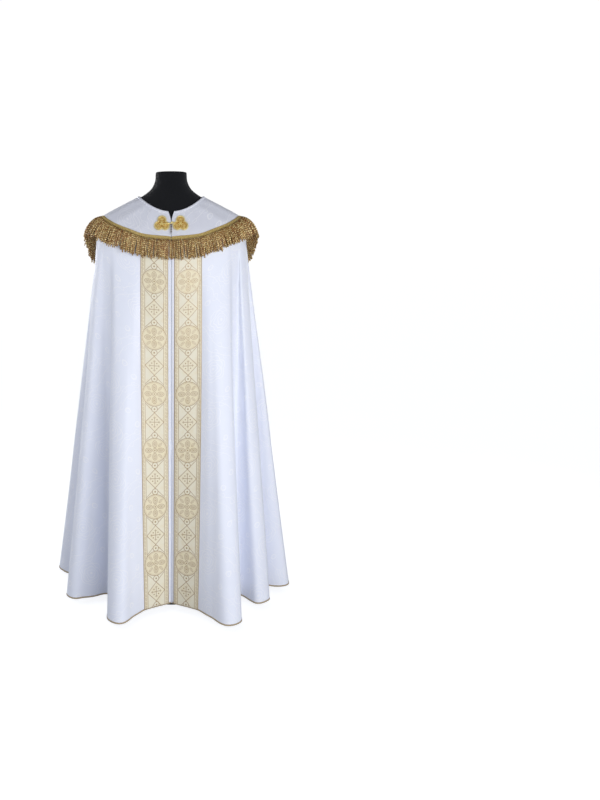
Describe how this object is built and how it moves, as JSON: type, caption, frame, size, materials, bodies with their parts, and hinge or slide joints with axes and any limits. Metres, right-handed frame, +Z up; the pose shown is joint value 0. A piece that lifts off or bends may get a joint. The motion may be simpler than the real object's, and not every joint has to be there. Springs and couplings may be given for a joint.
{
  "type": "cope vestment on a limbless dress form and stand",
  "caption": "Floor-length white cope with gold-banded fronts and a fringed, pointed hood with a cross, closed by a clasp, worn by a limbless black dress form on a stand.",
  "frame": {"origin": "middle of the stand base's underside, on the floor", "axes": "+Z up, -Y the front with the closure, +X the wearer's left"},
  "size_m": [0.8444, 0.68, 1.49],
  "materials": {
    "damask": "white tone-on-tone damask, soft sheen",
    "galloon": "cream woven band with gold ornament",
    "emblem_cloth": "beige ribbed cloth",
    "gold_thread": "gold satin stitch",
    "fringe_thread": "twisted old-gold rayon",
    "hem_braid": "narrow gold-brown braid",
    "gilt_metal": "polished gilt",
    "black_jersey": "matt black jersey",
    "stand_metal": "black, satin"
  },
  "bodies": {
    "root": {"mantle": "damask", "orphrey_front_right": "galloon", "orphrey_front_left": "galloon", "hem_braid": "hem_braid", "hood": "damask", "hood_band_vertical": "galloon", "hood_band_right": "galloon", "hood_band_left": "galloon", "emblem_ground": "emblem_cloth", "emblem_border": "gold_thread", "emblem_cross": "gold_thread", "hood_fringe_right": "fringe_thread", "hood_fringe_left": "fringe_thread", "clasp_right": "gilt_metal", "clasp_left": "gilt_metal", "clasp_hook": "gilt_metal", "clasp_chain": "gilt_metal", "dress_form": "black_jersey", "stand_pole": "stand_metal", "stand_base": "stand_metal"}
  },
  "joints": []
}
